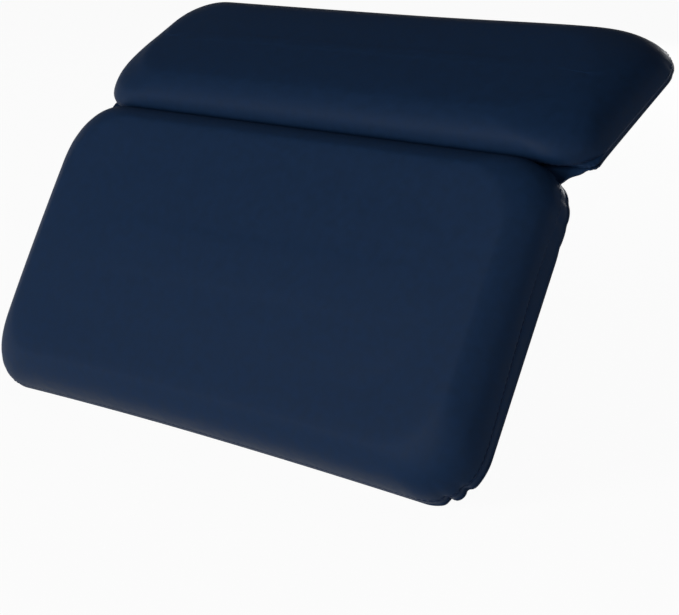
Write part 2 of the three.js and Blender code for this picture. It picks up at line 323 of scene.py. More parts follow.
@dataclass
class PadShape:
    """The outline and profile of one pad, along its own axes.

    Attributes:
        width: the width over the lip, halfway along.
        near: from the hinge line to the hinge side.
        far: from the hinge line to the lip of the free side.
        thickness: from the back to the top of the crown.
        free_corner: radius of the lip's corners away from the hinge, on its starting and its other side.
        hinge_corner: radius of the lip's corners at the hinge, likewise.
        free_growth: how much rounder the free corners get with each metre in from the lip.
        hinge_growth: the same at the hinge.
        hinge_gain: how much rounder the padded corners at the hinge are than the lip's, on either side.
        pleats: the easing at each corner.
        stitch_sway: how much higher the stitches run along a short side, as pairs of share and height from
            the hinge side to the free side.
        start_flare: how much wider the pad is on its starting side, at the hinge and at the free side.
        end_flare: the same on its other side.
        free_bow: how much further out the free side lies at its two ends than in its middle.
        free_sag: how much thinner the pad is at its free corners, on either side.
        start_lean: how much further in the top lies than the foot on the starting side.
        edge_round: how far in the rounding of the front edge reaches.
        hinge_round: the same on the hinge side.
        fullness: power of the edge's rounding: 2 is an ellipse, less is leaner.
        hinge_bulge: how far the side bulges over the hinge, where the pads press together.
        bulge_rise: how far up the side, from 0 to 1, the bulge is fullest.
        corner_steps: steps round a corner.
        long_steps: steps along a long side.
        short_steps: steps along a short side.
        WALL_LEAN: how far in the side goes for each measure that the stitches sway up it.
        GAIN_RISE: how far up the side, from 0 to 1, the hinge corners have their padded roundness.
        DRAWN_RISE: how far up the side, from 0 to 1, the hinge lip draws it in.
        CORNER_LIMIT: the largest share of the pad's length that a corner's radius takes.
    """

    width: float
    near: float
    far: float
    thickness: float
    free_corner: tuple[float, float]
    hinge_corner: tuple[float, float]
    free_growth: float
    hinge_growth: float
    pleats: dict[Corner, Pleats]
    stitch_sway: tuple[tuple[float, float], ...]
    start_flare: tuple[float, float]
    end_flare: tuple[float, float]
    free_bow: tuple[float, float]
    free_sag: tuple[float, float]
    edge_round: float
    hinge_round: float
    hinge_bulge: float
    bulge_rise: float = 0.1
    start_lean: float = 0.0
    hinge_gain: tuple[float, float] = (0.0, 0.0)
    fullness: float = 2.0
    corner_steps: int = 8
    long_steps: int = 40
    short_steps: int = 16

    WALL_LEAN: ClassVar[float] = 0.3
    GAIN_RISE: ClassVar[float] = 0.12
    DRAWN_RISE: ClassVar[float] = 0.3
    CORNER_LIMIT: ClassVar[float] = 0.49

    def corner_circles(self, inset: Inset, rise: float = 0.0) -> list[tuple[float, float, float]]:
        """Finds the circles of the four corners of a ring.

        Args:
            inset: where the ring lies.
            rise: how far up the side it lies, from 0 at the lip to 1 at the face.

        Returns:
            Middle and radius of each corner, in the outline's order.
        """
        right = self.width / 2 - inset.side
        free = self.far - inset.side
        hinge = self.near + inset.hinge
        most = (free - hinge) * self.CORNER_LIMIT
        wide = [min(radius + self.free_growth * inset.side, most) for radius in self.free_corner]
        gain = float(smooth_step(rise / self.GAIN_RISE))
        tight = [
            min(radius + self.hinge_growth * inset.side + more * gain, most)
            for radius, more in zip(self.hinge_corner, self.hinge_gain)
        ]
        return [
            (right - wide[0], free - wide[0], wide[0]),
            (wide[1] - right, free - wide[1], wide[1]),
            (tight[1] - right, hinge + tight[1], tight[1]),
            (right - tight[0], hinge + tight[0], tight[0]),
        ]

    def finer(self, times: int) -> "PadShape":
        """Steps the same shape more finely.

        Args:
            times: how many steps replace each one.

        Returns:
            The shape with finer steps.
        """
        return replace(
            self,
            corner_steps=self.corner_steps * times,
            long_steps=self.long_steps * times,
            short_steps=self.short_steps * times,
        )

    def ring(self, inset: Inset, height: float, sway: float = 0.0, rise: float = 0.0) -> np.ndarray:
        """Walks round the pad, anticlockwise seen from the front.

        Args:
            inset: where the ring lies.
            height: its height above the back.
            sway: share of the stitches' sway that it takes.
            rise: how far up the side it lies, from 0 at the lip to 1 at the face.

        Returns:
            Points, evenly stepped on each corner and each side.
        """
        arcs, ways = [], []
        for turn, (x, y, radius) in enumerate(self.corner_circles(inset, rise)):
            angles = (turn + np.linspace(0, 1, self.corner_steps + 1)) * math.pi / 2
            ways.append(np.column_stack((np.cos(angles), np.sin(angles))))
            arcs.append((x, y) + radius * ways[-1])
        points, outward = [], []
        for turn, arc in enumerate(arcs):
            steps = self.short_steps if turn % 2 else self.long_steps
            share = np.linspace(0, 1, steps + 1)[1:-1, None]
            points += [arc, arc[-1] * (1 - share) + arcs[(turn + 1) % 4][0] * share]
            outward += [ways[turn], np.repeat(ways[turn][-1:], steps - 1, axis=0)]
        flat, out = np.vstack(points), np.vstack(outward)
        lift = np.interp(self.along(flat[:, 1]), *zip(*self.stitch_sway)) * np.abs(out[:, 0]) * sway
        return np.column_stack((flat - out * lift[:, None] * self.WALL_LEAN, height + lift))

    def wall(self, rise: float, top: float, sway: float = 0.0) -> np.ndarray:
        """Walks round the side of the cover.

        Args:
            rise: how far up its rounding, from 0 at the lip to 1 at the face.
            top: height of the face's edge.
            sway: share of the stitches' sway that it takes.

        Returns:
            The ring's points.
        """
        swell = self.hinge_bulge * math.sin(math.pi / 2 * min(rise / self.bulge_rise, 1.0))
        drawn = SEWING.hinge_lip * max(1 - rise / self.DRAWN_RISE, 0.0)
        past = max(rise - self.bulge_rise, 0.0) / (1 - self.bulge_rise)
        inset = Inset(
            SEWING.lip + (self.edge_round - SEWING.lip) * self.rounded(rise),
            drawn - swell + (self.hinge_round + self.hinge_bulge) * self.rounded(past),
        )
        return self.ring(inset, LIP_TOP + (top - LIP_TOP) * rise, sway, rise)

    def along(self, places: np.ndarray) -> np.ndarray:
        """Returns how far along the pad places lie, from 0 at the hinge side to 1 at the free side."""
        return (places - self.near) / (self.far - self.near)

    def rounded(self, rise: float) -> float:
        """Returns how far in the rounding has come, from 0 to 1, at a share of its height."""
        return 1 - (1 - rise**self.fullness) ** (1 / self.fullness)

    def lip_outline(self) -> np.ndarray:
        """Walks round the edge of the lip in fine steps, with the pleats worked in."""
        return self.eased(self.finer(FINE_STEPS).ring(LIP_EDGE, SEWING.sheet))

    def eased(self, points: np.ndarray) -> np.ndarray:
        """Works the corners' pleats and the pad's uneven stuffing into points of the cover or the lip.

        Args:
            points: places along the pad's own axes.

        Returns:
            The places after both.
        """
        return self.stuffed(self.pleated(points))

    def pleated(self, points: np.ndarray) -> np.ndarray:
        """Works the corners' pleats into points of the cover or the lip.

        Args:
            points: places along the pad's own axes.

        Returns:
            The places after the corners are eased.
        """
        result = points.copy()
        above = np.maximum(points[:, 2] - LIP_TOP, 0)
        lip = np.clip(1 - above / SEWING.stitch_height, 0, 1)
        for corner, (x, y, radius) in zip(Corner, self.corner_circles(LIP_EDGE)):
            easing = self.pleats[corner]
            out = points[:, :2] - (x, y)
            far = np.linalg.norm(out, axis=1)
            # In quarter turns from the corner's own start, between -2 and 2.
            turn = np.arctan2(out[:, 1], out[:, 0]) / (math.pi / 2) - corner.value
            turn = np.mod(turn + 2.0, 4.0) - 2.0
            outer = smooth_step((far - radius + easing.start) / easing.run)
            deep = lip * easing.depth * outer + (1 - lip) * easing.wall * np.exp(-above / easing.reach)
            for place in easing.places:
                phase = np.clip((turn - place) / easing.pitch, -0.5, 0.5)
                notch = (1 - np.abs(np.sin(math.pi * phase))) ** easing.sharpness
                result[:, :2] -= out * (notch * deep / np.maximum(far, MM))[:, None]
        return result

    def stuffed(self, points: np.ndarray) -> np.ndarray:
        """Works the pad's flare, lean, bow and sag into points of the cover or the lip.

        Args:
            points: places along the pad's own axes.

        Returns:
            The places on the unevenly stuffed pad.
        """
        result = points.copy()
        above = np.maximum(points[:, 2] - LIP_TOP, 0)
        along = self.along(points[:, 1])
        half = self.width / 2
        for sign, (hinge, free) in ((1, self.start_flare), (-1, self.end_flare)):
            wider = (hinge * (1 - along) + free * along) / half
            result[:, 0] *= np.where(result[:, 0] * sign > 0, 1 + wider, 1)
        leaning = (above / self.thickness) ** 2 * np.maximum(result[:, 0] / half, 0) ** 4
        result[:, 0] -= self.start_lean * leaning
        bow = np.where(result[:, 0] > 0, *self.free_bow)
        by_end = (result[:, 0] / half) ** 2
        by_free_side = np.clip(along, 0, 1) ** 2
        result[:, 1] += bow * by_end * by_free_side
        sag = np.where(result[:, 0] > 0, *self.free_sag)
        result[:, 2] -= sag * by_end**3 * by_free_side**2 * above / self.thickness
        return result


@dataclass(frozen=True)
class Filling:
    """How full a cover is.

    Attributes:
        slack: how much thinner the cover starts before it is blown up, and how far the filling may move it.
        grid_depth: how far in from the lip the rings of the edge give way to the grid of the face.
        groove: how deep the stitches draw the cover in, away from the hinge.
    """

    slack: float
    grid_depth: float
    groove: float


FILLINGS = {
    PadSide.LOWER: Filling(slack=3.5 * MM, grid_depth=42 * MM, groove=0.45 * MM),
    PadSide.UPPER: Filling(slack=3.0 * MM, grid_depth=36 * MM, groove=0.1 * MM),
}


@dataclass(frozen=True)
class Neighbours:
    """Which corners of a mesh its edges join.

    Attributes:
        ends: the two corners of each edge.
        count: how many edges meet at each corner.
    """

    ends: np.ndarray
    count: np.ndarray

    @classmethod
    def of(cls, piece: bpy.types.Object) -> "Neighbours":
        """Reads the neighbours from a piece's mesh."""
        ends = np.array([edge.vertices[:] for edge in piece.data.edges])
        return cls(ends, np.bincount(ends.ravel(), minlength=len(piece.data.vertices))[:, None])

    def evened(self, values: np.ndarray) -> np.ndarray:
        """Brings each corner's values halfway to the mean of its neighbours.

        Args:
            values: one row for each corner.

        Returns:
            The evened values.
        """
        around = np.zeros_like(values)
        np.add.at(around, self.ends[:, 0], values[self.ends[:, 1]])
        np.add.at(around, self.ends[:, 1], values[self.ends[:, 0]])
        return (values + around / self.count) / 2


@dataclass
class Cushion:
    """A front cover filled by its foam: a crowned, closed form with its seam groove and sewn lip.

    Attributes:
        side: which pad it is.
        shape: the pad's outline and profile.
        place: the pad's place.
        filling: how full it is.
        pressure: the pressure inside, in the simulation's own measure.
        frames: how long it is blown up.
        quality: how many steps the simulation takes in a frame.
        weight: the cloth's mass at each corner, in the simulation's own measure.
        stiffness: how much the cloth withstands bending, likewise.
        smoothing: how often the foam evens out the cover's wrinkles.
        softening: how often the heights of the rounded edge and the face are evened out.
        UNDERSIDE: where the cover's underside ends.
        LIP_SECTION: the lip's section, as shares of its width inward and of its thickness upward.
        GROOVE_SECTION: the groove's section, as heights from the stitches, each with its share of the depth
            and of the sway.
        SEWN_RISES: heights up the side that stay as sewn, from 0 to 1, each with its share of the sway.
        FREE_RISES: heights up the side that the filling can move.
        FACE_SHARES: rings on the face, as shares of the way from its edge to the grid.
        GROOVE_ALONG: where the groove begins and how far it takes to be full, as shares of the pad's length.
        QUICK_RISE: a height up the side, from 0 to 1; not used.
    """

    side: PadSide
    shape: PadShape
    place: PadPlace
    filling: Filling
    pressure: float = 4.0
    frames: int = 20
    quality: int = 4
    weight: float = 0.3
    stiffness: float = 0.5
    smoothing: int = 40
    softening: int = 9

    UNDERSIDE: ClassVar[Inset] = Inset(12 * MM, 12 * MM)
    LIP_SECTION: ClassVar[tuple] = ((1.0, 0.0), (0.15, 0.2), (0.0, 0.5), (0.15, 0.8), (0.9, 1.0))
    GROOVE_SECTION: ClassVar[tuple] = (
        (-2.2 * MM, 0.0, 0.4),
        (-0.8 * MM, 0.0, 1.0),
        (-0.3 * MM, 0.7, 1.0),
        (0.3 * MM, 0.7, 1.0),
        (0.8 * MM, 0.0, 1.0),
    )
    SEWN_RISES: ClassVar[tuple] = ((0.36, 0.75), (0.46, 0.45), (0.56, 0.2), (0.66, 0.05))
    FREE_RISES: ClassVar[tuple] = (0.76, 0.85, 0.92, 0.966, 0.99, 1.0)
    FACE_SHARES: ClassVar[tuple] = (0.5, 1.0)
    GROOVE_ALONG: ClassVar[tuple] = (0.15, 0.35)
    QUICK_RISE: ClassVar[float] = 0.7

    def top(self) -> float:
        """Returns the height of the face's edge before the cover is filled."""
        return self.shape.thickness - self.filling.slack

    def sewn_rings(self) -> list[np.ndarray]:
        """Makes the rings that stay as sewn: the lip, the groove of the stitches and the foot of the side.

        Returns:
            The rings, upward from the underside.
        """
        shape = self.shape
        rings = [shape.ring(self.UNDERSIDE, SEWING.sheet)]
        for side, height in self.LIP_SECTION:
            inset = Inset(side * SEWING.lip, SEWING.hinge_lip)
            rings.append(shape.ring(inset, SEWING.sheet + SEWING.lip_edge * height))
        start, run = self.GROOVE_ALONG
        for off, deep, sway in self.GROOVE_SECTION:
            rise = (SEWING.stitch_height + off - LIP_TOP) / (self.top() - LIP_TOP)
            ring = shape.wall(rise, self.top(), sway)
            middle = ring[:, :2].mean(0)
            inward = (middle - ring[:, :2]) / np.linalg.norm(middle - ring[:, :2], axis=1, keepdims=True)
            depth = deep * self.filling.groove * smooth_step((shape.along(ring[:, 1:2]) - start) / run)
            ring[:, :2] += inward * depth
            rings.append(ring)
        for rise, sway in self.SEWN_RISES:
            rings.append(shape.wall(rise, self.top(), sway))
        return rings

    def free_rings(self) -> list[np.ndarray]:
        """Makes the rings that the filling can move.

        Returns:
            The rings, from the rounded edge in to the rim of the face's grid.
        """
        shape = self.shape
        rings = [shape.wall(rise, self.top()) for rise in self.FREE_RISES]
        for share in self.FACE_SHARES:
            further = (self.filling.grid_depth - shape.edge_round) * share
            inset = Inset(shape.edge_round + further, shape.hinge_round + further)
            rings.append(shape.ring(inset, self.top(), rise=1.0))
        return rings

    def face_grid(self, ring: np.ndarray) -> np.ndarray:
        """Spans the face inside its last ring with a grid.

        Args:
            ring: the points of the last ring.

        Returns:
            The grid's points, rows by columns, with the ring's own points on its rim.
        """
        half = self.shape.corner_steps // 2
        long = self.shape.long_steps + self.shape.corner_steps
        short = self.shape.short_steps + self.shape.corner_steps
        walk = np.roll(ring, -half, axis=0)
        top = walk[: long + 1]
        left = walk[long : long + short + 1]
        bottom = walk[long + short : 2 * long + short + 1][::-1]
        right = np.vstack((walk[2 * long + short :], walk[:1]))[::-1]
        u = np.linspace(0, 1, long + 1)[None, :, None]
        v = np.linspace(0, 1, short + 1)[:, None, None]
        # Blends the four sides, and takes off the corners, which that counts twice.
        ruled = (1 - v) * top[None] + v * bottom[None] + (1 - u) * right[:, None] + u * left[:, None]
        corners = (1 - u) * ((1 - v) * top[0] + v * bottom[0]) + u * ((1 - v) * top[-1] + v * bottom[-1])
        return ruled - corners

    def skin(self, name: str, rings: list[np.ndarray], grid: np.ndarray) -> bpy.types.Object:
        """Joins rings and the face's grid into one closed mesh.

        Args:
            name: the piece's name.
            rings: its rings, from the underside to the edge of the face.
            grid: the face's grid, whose rim is the last ring.

        Returns:
            The piece. Its corners are the rings' points in order, then the grid's inner points.
        """
        count = len(rings[0])
        faces = [tuple(reversed(range(count)))]
        for ring in range(len(rings) - 1):
            for step in range(count):
                here = ring * count + step
                after = ring * count + (step + 1) % count
                faces.append((here, after, after + count, here + count))
        rows, columns = grid.shape[:2]
        half = self.shape.corner_steps // 2
        last = (len(rings) - 1) * count
        walk = [last + (half + step) % count for step in range(count)]
        # The grid's rim takes the numbers of the last ring's points, and its inner points get new ones.
        numbers = np.full((rows, columns), -1)
        numbers[0, :] = walk[:columns]
        numbers[:, -1] = walk[columns - 1 : columns + rows - 1]
        numbers[-1, :] = walk[columns + rows - 2 : 2 * columns + rows - 2][::-1]
        numbers[:, 0] = (walk[2 * columns + rows - 3 :] + walk[:1])[::-1]
        inner = numbers < 0
        numbers[inner] = len(rings) * count + np.arange(inner.sum())
        quads = np.stack((numbers[:-1, :-1], numbers[:-1, 1:], numbers[1:, 1:], numbers[1:, :-1]), axis=-1)
        faces += [tuple(quad) for quad in quads.reshape(-1, 4).tolist()]
        return mesh_object(name, np.vstack((*rings, grid[inner])), faces)

    def blown_up(self, free: list[np.ndarray], grid: np.ndarray) -> np.ndarray:
        """Fills the cover by a cloth simulation under pressure, with its seam held.

        Args:
            free: the rings that can move.
            grid: the face's grid.

        Returns:
            Where the free rings' points and the grid's inner points come to lie.
        """
        sewn = self.sewn_rings()
        trial = self.skin(f"{self.side.value}_trial", [sewn[0], sewn[-1]] + free, grid)
        held_count = 2 * len(free[0])
        before = corners_of(trial)
        held = trial.vertex_groups.new(name="sewn")
        held.add(list(range(held_count)), 1.0, "REPLACE")
        cloth = trial.modifiers.new("Cloth", "CLOTH")
        cloth.settings.quality = self.quality
        cloth.settings.mass = self.weight
        cloth.settings.bending_stiffness = self.stiffness
        cloth.settings.vertex_group_mass = held.name
        cloth.settings.use_pressure = True
        cloth.settings.uniform_pressure_force = self.pressure
        cloth.settings.effector_weights.gravity = 0
        cloth.collision_settings.use_collision = False
        cloth.point_cache.frame_start = 1
        cloth.point_cache.frame_end = self.frames
        for step in range(1, self.frames + 1):
            bpy.context.scene.frame_set(step)
        apply_modifier(trial, cloth)
        bpy.context.scene.frame_set(1)
        moved = corners_of(trial) - before
        neighbours = Neighbours.of(trial)
        bpy.data.objects.remove(trial)
        for _ in range(self.smoothing):
            moved = neighbours.evened(moved)
            moved[:held_count] = 0
        most = moved[:, 2].max()
        LOG.info("%s pad: blown up by %.1f mm at most", self.side.value, most / MM)
        return (before + moved * self.filling.slack / most)[held_count:]

    def soften(self, piece: bpy.types.Object, held: int) -> None:
        """Evens out the heights of the rounded edge and the face, so that the one runs softly into the other.

        Args:
            piece: the cover before its subdivision.
            held: how many of its corners stay as sewn; they come first.
        """
        points = corners_of(piece)
        neighbours = Neighbours.of(piece)
        for _ in range(self.softening):
            points[held:, 2:] = neighbours.evened(points[:, 2:])[held:]
        set_corners(piece, points)

    def build(self, finish: "CoatedFabric") -> bpy.types.Object:
        """Makes the cushion and hangs it on its pad.

        Args:
            finish: the cover's fabric.

        Returns:
            The finished piece.
        """
        name = self.side.value
        sewn = self.sewn_rings()
        free = self.free_rings()
        grid = self.face_grid(free[-1])
        filled = self.blown_up(free, grid)
        piece = self.skin(f"{name}_cover", sewn + free, grid)
        points = corners_of(piece)
        held = len(sewn) * len(sewn[0])
        points[held:] = filled
        set_corners(piece, points)
        self.soften(piece, held)
        subdivide(piece, levels=2)
        set_corners(piece, self.shape.eased(corners_of(piece)))
        self.place.seat(piece)
        piece.data.materials.append(finish.material())
        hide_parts(f"{name}_front_cover", f"{name}_foam_core")
        bend_with_hinge(piece)
        return piece


@dataclass
class BackSheet:
    """The one cut of fabric that both covers are sewn to; it bends between the pads.

    Attributes:
        lower: the lower pad's shape.
        upper: the upper pad's shape.
        places: where the two pads lie.
        cups: where the cups go through the flat cut, across by along.
        upper_web: how far the bending strip stops short of the upper pad's width.
        lower_web: the same for the lower pad.
        bend: half the width of the strip that bends.
        thickness: the sheet's own thickness.
        spacing: the grid's spacing.
        fine_reach: how far from the hinge line the grid is finer.
        fine_spacing: its spacing there, along the sheet.
        edge_clear: how far the grid stays inside the edge.
        strip_steps: steps along each end of the bending strip.
        hole: radius of the holes that the grommets grip.
        hole_rings: radii of the rings of points round a hole.
        hole_clear: how far the grid stays away from a hole's middle.
        hole_steps: steps round a hole.
        pucker: depth of the puckers at the two ends of the bending strip.
        pucker_pitch: from one pucker to the next.
        pucker_count: how many of them there are, from an end inward.
        pucker_fade: over how many of them they run out.
        SMOOTH_ANGLE: the sharpest edge that is shaded smooth.
        OUTSIDE_HOLE: share of the hole's radius past which a face's middle lies on the sheet.
    """

    lower: PadShape
    upper: PadShape
    places: dict[PadSide, PadPlace]
    cups: list[tuple[float, float]]
    upper_web: float = 2.0 * MM
    lower_web: float = 13.0 * MM
    bend: float = 5.2 * MM
    thickness: float = 1.1 * MM
    spacing: float = 6.0 * MM
    fine_reach: float = 12.0 * MM
    fine_spacing: float = 1.5 * MM
    edge_clear: float = 2.2 * MM
    strip_steps: int = 8
    hole: float = 6.7 * MM
    hole_rings: tuple[float, ...] = (9.0 * MM, 11.5 * MM, 14.0 * MM)
    hole_clear: float = 16.0 * MM
    hole_steps: int = 32
    pucker: float = 1.5 * MM
    pucker_pitch: float = 9.0 * MM
    pucker_count: float = 4.5
    pucker_fade: float = 3.0

    SMOOTH_ANGLE: ClassVar[float] = math.radians(40)
    OUTSIDE_HOLE: ClassVar[float] = 0.995

    def outline(self) -> np.ndarray:
        """Walks round the flat cut.

        Returns:
            Its points, across by along, with the lower pad at negative places along.
        """
        runs = []
        for shape, sign, web in ((self.upper, 1.0, self.upper_web), (self.lower, -1.0, self.lower_web)):
            half = shape.width / 2 - web
            ring = shape.lip_outline()[:, :2]
            near = ring[:, 1] < shape.near + max(shape.hinge_corner)
            kept = ~(near & (np.abs(ring[:, 0]) < half))
            first = int(np.argmax(kept & ~np.roll(kept, 1)))
            ring = np.roll(ring, -first, axis=0)[: int(kept.sum())]
            runs.append(ring * sign)
        sides = []
        for here, after in ((runs[0][-1], runs[1][0]), (runs[1][-1], runs[0][0])):
            share = np.linspace(0, 1, self.strip_steps + 1)[1:-1, None]
            sides.append(here * (1 - share) + after * share)
        return np.vstack((runs[0], sides[0], runs[1], sides[1]))

    def flat_mesh(self) -> tuple[np.ndarray, list[tuple[int, ...]]]:
        """Meshes the flat cut, with its holes.

        Returns:
            Flat points and triangles.
        """
        edge = self.outline()
        low, high = edge.min(0), edge.max(0)
        across = np.arange(low[0], high[0], self.spacing)
        along = np.concatenate(
            (
                np.arange(low[1], -self.fine_reach, self.spacing),
                np.arange(-self.fine_reach, self.fine_reach, self.fine_spacing),
                np.arange(self.fine_reach, high[1], self.spacing),
            )
        )
        grid = np.array([(x, y) for y in along for x in across])
        keep = inside(edge, grid) & (nearest(edge, grid) > self.edge_clear)
        loops = [edge]
        turn = np.linspace(0, 2 * math.pi, self.hole_steps, endpoint=False)
        for x, y in self.cups:
            keep &= np.hypot(grid[:, 0] - x, grid[:, 1] - y) > self.hole_clear
            for radius in (self.hole, *self.hole_rings):
                loops.append(np.column_stack((x + radius * np.cos(turn), y + radius * np.sin(turn))))
        points = [Vector(point) for point in np.vstack((*loops, grid[keep]))]
        edges = []
        first = 0
        for loop in loops:
            edges += [(first + step, first + (step + 1) % len(loop)) for step in range(len(loop))]
            first += len(loop)
        flat, _, faces, *_ = delaunay_2d_cdt(points, edges, [], 1, FLAT_TOLERANCE)
        flat = np.array([tuple(point) for point in flat])
        # The triangles also cover the holes, so those inside a hole are left out.
        kept_faces = []
        for face in faces:
            x, y = flat[list(face)].mean(0)
            off = min(math.hypot(x - cup[0], y - cup[1]) for cup in self.cups)
            if off > self.hole * self.OUTSIDE_HOLE:
                kept_faces.append(tuple(face))
        used = sorted({corner for face in kept_faces for corner in face})
        numbers = {corner: number for number, corner in enumerate(used)}
        return flat[used], [tuple(numbers[corner] for corner in face) for face in kept_faces]

    def bent(self, flat: np.ndarray) -> np.ndarray:
        """Bends the flat cut to its place.

        Args:
            flat: points of the cut: across, along, and height above the middle of the sheet.

        Returns:
            The same points in the frame.
        """
        lower = self.places[PadSide.LOWER]
        upper = self.places[PadSide.UPPER]
        # Each flat lies in its pad's plane, and the strip between follows the circle that touches both.
        fold = lower.front.angle(upper.front)
        radius = self.bend / math.tan(fold / 2)
        axis_point = lower.hinge + lower.front * SEWING.sheet / 2
        middle = (lower.front + upper.front).normalized()
        centre = np.array(axis_point - middle * (radius / math.cos(fold / 2)))
        result = np.zeros((len(flat), 3))
        for place, sign in ((lower, -1.0), (upper, 1.0)):
            on = flat[:, 1] * sign >= self.bend
            along = np.abs(flat[on, 1])[:, None] * np.array(place.free)
            result[on] = np.array(axis_point) + along + flat[on, 2:] * np.array(place.front)
        on = np.abs(flat[:, 1]) < self.bend
        angle = fold / 2 * flat[on, 1] / self.bend
        up = np.array(middle)
        onward = np.array(middle.cross(upper.across))
        onward *= np.sign(onward @ np.array(upper.free))
        reach = (radius + flat[on, 2])[:, None]
        result[on] = centre + reach * (np.cos(angle)[:, None] * up + np.sin(angle)[:, None] * onward)
        result[:, 0] += flat[:, 0]
        return result

    def puckers(self, flat: np.ndarray) -> np.ndarray:
        """Finds how far the slack at the ends of the bending strip puckers.

        Args:
            flat: points of the flat cut.

        Returns:
            The height of each point.
        """
        end = self.upper.width / 2 - np.abs(flat[:, 0])
        wave = 0.5 - 0.5 * np.cos(2 * math.pi * end / self.pucker_pitch)
        by_hinge = np.exp(-((flat[:, 1] / self.pucker_pitch) ** 2))
        by_end = smooth_step((self.pucker_count - end / self.pucker_pitch) / self.pucker_fade)
        return -self.pucker * wave * by_hinge * by_end

    def build(self, finish: "CoatedFabric") -> bpy.types.Object:
        """Makes the sheet and hangs it between the two pads.

        Args:
            finish: the sheet's fabric.

        Returns:
            The finished piece.
        """
        flat, faces = self.flat_mesh()
        piece = mesh_object("back_sheet", self.bent(np.column_stack((flat, self.puckers(flat)))), faces)
        make_active(piece)
        bpy.ops.object.mode_set(mode="EDIT")
        bpy.ops.mesh.select_all(action="SELECT")
        bpy.ops.mesh.normals_make_consistent(inside=False)
        bpy.ops.object.mode_set(mode="OBJECT")
        solid = piece.modifiers.new("Solidify", "SOLIDIFY")
        solid.thickness = self.thickness
        solid.offset = 0.0
        apply_modifier(piece, solid)
        make_active(piece)
        bpy.ops.object.shade_smooth_by_angle(angle=self.SMOOTH_ANGLE)
        piece.data.materials.append(finish.material())
        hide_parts("lower_back_panel", "hinge_web", "upper_back_panel")
        bend_with_hinge(piece)
        return piece


def inside(edge: np.ndarray, points: np.ndarray) -> np.ndarray:
    """Tells which points lie inside a closed outline, by counting the sides that a ray from each crosses.

    Args:
        edge: the outline's corners.
        points: the points to tell about.

    Returns:
        True for each point inside.
    """
    result = np.zeros(len(points), dtype=bool)
    after = np.roll(edge, -1, axis=0)
    for (x0, y0), (x1, y1) in zip(edge, after):
        crosses = (y0 > points[:, 1]) != (y1 > points[:, 1])
        if y1 != y0:
            result ^= crosses & (points[:, 0] < x0 + (points[:, 1] - y0) * (x1 - x0) / (y1 - y0))
    return result


def nearest(edge: np.ndarray, points: np.ndarray) -> np.ndarray:
    """Finds each point's distance to the nearest corner of an outline."""
    return np.array([np.hypot(*(edge - point).T).min() for point in points])


@dataclass
class Stitches:
    """The row of stitches that sews a cover to the back sheet.

    Attributes:
        side: which pad.
        shape: the pad's outline.
        place: the pad's place.
        top: height of the face's edge that the cover was cut for.
        length: a stitch's length.
        pitch: from one stitch to the next.
        thread: the thread's radius.
        sunk: how deep the middle of the thread lies in the cover.
        back_row: where the row lies on the back.
        back_height: height of the thread's middle there, above the pad's back.
    """

    side: PadSide
    shape: PadShape
    place: PadPlace
    top: float
    length: float = 2.9 * MM
    pitch: float = 3.6 * MM
    thread: float = 0.3 * MM
    sunk: float = 0.2 * MM
    back_row: Inset = Inset(3.0 * MM, SEWING.hinge_lip + 2.0 * MM)
    back_height: float = 0.05 * MM

    def path(self, on_cover: bool) -> np.ndarray:
        """Walks along the row of stitches in fine steps.

        Args:
            on_cover: on the side of the cover, or else on the back.

        Returns:
            The row's points.
        """
        fine = self.shape.finer(FINE_STEPS)
        if not on_cover:
            return self.shape.eased(fine.ring(self.back_row, self.back_height))
        rise = (SEWING.stitch_height - LIP_TOP) / (self.top - LIP_TOP)
        row = fine.wall(rise, self.top, 1.0)
        row[:, :2] *= 1 - self.sunk / np.linalg.norm(row[:, :2], axis=1, keepdims=True)
        return self.shape.eased(row)

    def build(self, finish: "Thread") -> bpy.types.Object:
        """Lays the stitches on the cover's side and on the back.

        Args:
            finish: the thread's finish.

        Returns:
            The finished piece.
        """
        deselect_all()
        bpy.ops.mesh.primitive_uv_sphere_add(segments=8, ring_count=6, radius=1.0)
        pattern = bpy.context.object
        bead = corners_of(pattern)
        bead_faces = [tuple(face.vertices) for face in pattern.data.polygons]
        bpy.data.objects.remove(pattern)
        bead = bead[:, [2, 0, 1]] * (self.length / 2, self.thread, self.thread)
        blocks, faces = [], []
        for on_cover in (True, False):
            walk = self.path(on_cover)
            loop = np.vstack((walk, walk[:1]))
            run = np.concatenate(([0.0], np.cumsum(np.linalg.norm(np.diff(loop, axis=0), axis=1))))
            count = int(run[-1] / self.pitch)
            for number in range(count):
                here = (number + 0.5) * run[-1] / count
                ends = [
                    np.array([np.interp(here + way, run, loop[:, axis]) for axis in range(3)])
                    for way in (-self.length / 2, self.length / 2)
                ]
                middle = (ends[0] + ends[1]) / 2
                along = (ends[1] - ends[0]) / np.linalg.norm(ends[1] - ends[0])
                side = np.cross((0, 0, 1), along)
                first = len(blocks) * len(bead)
                blocks.append(middle + bead @ np.array((along, side, (0, 0, 1))))
                faces += [tuple(corner + first for corner in face) for face in bead_faces]
        piece = mesh_object(f"{self.side.value}_stitches", np.vstack(blocks), faces)
        self.place.seat(piece)
        piece.data.materials.append(finish.material())
        bend_with_hinge(piece)
        return piece


ROUNDING_STEPS = 3
SHARP_ANGLE = math.radians(35)
SHADED_ANGLE = math.radians(50)


